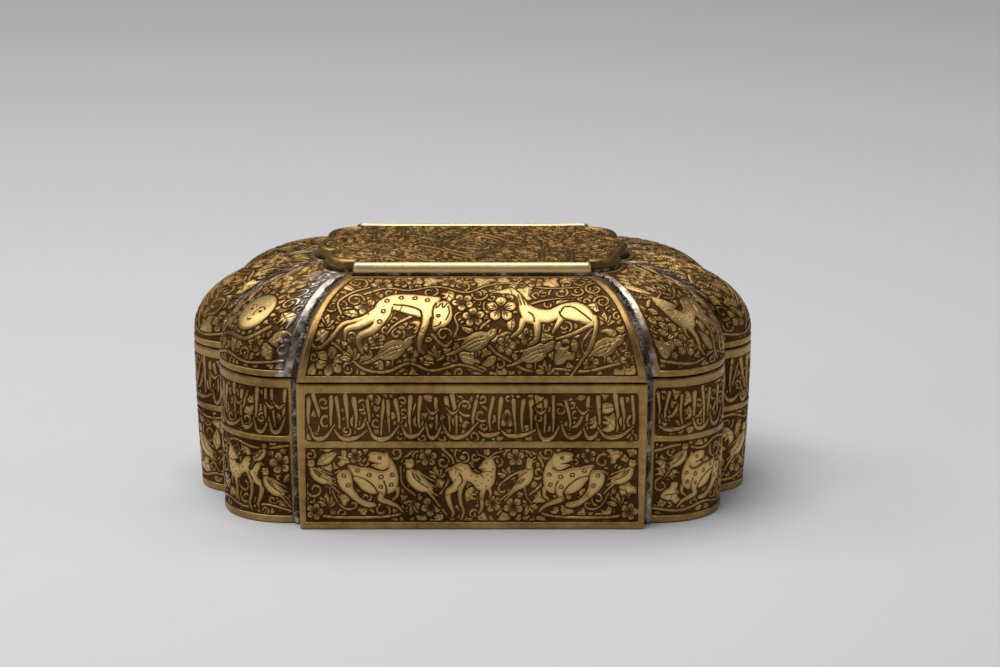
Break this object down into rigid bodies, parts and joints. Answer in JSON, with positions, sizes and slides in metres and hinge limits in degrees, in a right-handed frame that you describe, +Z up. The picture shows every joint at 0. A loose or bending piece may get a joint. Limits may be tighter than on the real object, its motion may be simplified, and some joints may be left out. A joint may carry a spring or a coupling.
{
  "type": "hinged casket",
  "caption": "Lobed oblong brass casket with a domed gadrooned lid hinged at the back and engraved animal and scroll panels.",
  "frame": {"origin": "centre of the underside, on the surface the casket stands on", "axes": "+X to the casket's right along its length, -Y the front, +Z up"},
  "size_m": [0.2014, 0.1216, 0.0896],
  "materials": {
    "engraved_brass": "engraved, dark recesses, worn relief",
    "plain_brass": "aged satin",
    "solder": "dull grey soft solder"
  },
  "bodies": {
    "body": {"base_plate": "plain_brass", "front_wall": "engraved_brass", "back_wall": "engraved_brass", "front_left_corner_wall": "engraved_brass", "front_right_corner_wall": "engraved_brass", "back_left_corner_wall": "engraved_brass", "back_right_corner_wall": "engraved_brass", "left_end_wall": "engraved_brass", "right_end_wall": "engraved_brass", "body_seam_solder": "solder", "left_hinge_body_leaf": "plain_brass", "right_hinge_body_leaf": "plain_brass", "left_hinge_pin": "plain_brass", "right_hinge_pin": "plain_brass", "hinge_rivets_body": "plain_brass"},
    "lid": {"front_gore": "engraved_brass", "back_gore": "engraved_brass", "front_left_corner_gore": "engraved_brass", "front_right_corner_gore": "engraved_brass", "back_left_corner_gore": "engraved_brass", "back_right_corner_gore": "engraved_brass", "left_end_gore": "engraved_brass", "right_end_gore": "engraved_brass", "top_plate": "engraved_brass", "top_plate_solder": "solder", "lid_seam_solder": "solder", "left_hinge_lid_leaf": "plain_brass", "right_hinge_lid_leaf": "plain_brass", "hinge_rivets_lid": "plain_brass"}
  },
  "joints": [
    {"name": "lid_hinge", "type": "hinge", "parent": "body", "child": "lid", "pos_m": [0, 0.061, 0.0538], "axis": [-1, 0, 0], "range_deg": [0, 105]}
  ]
}
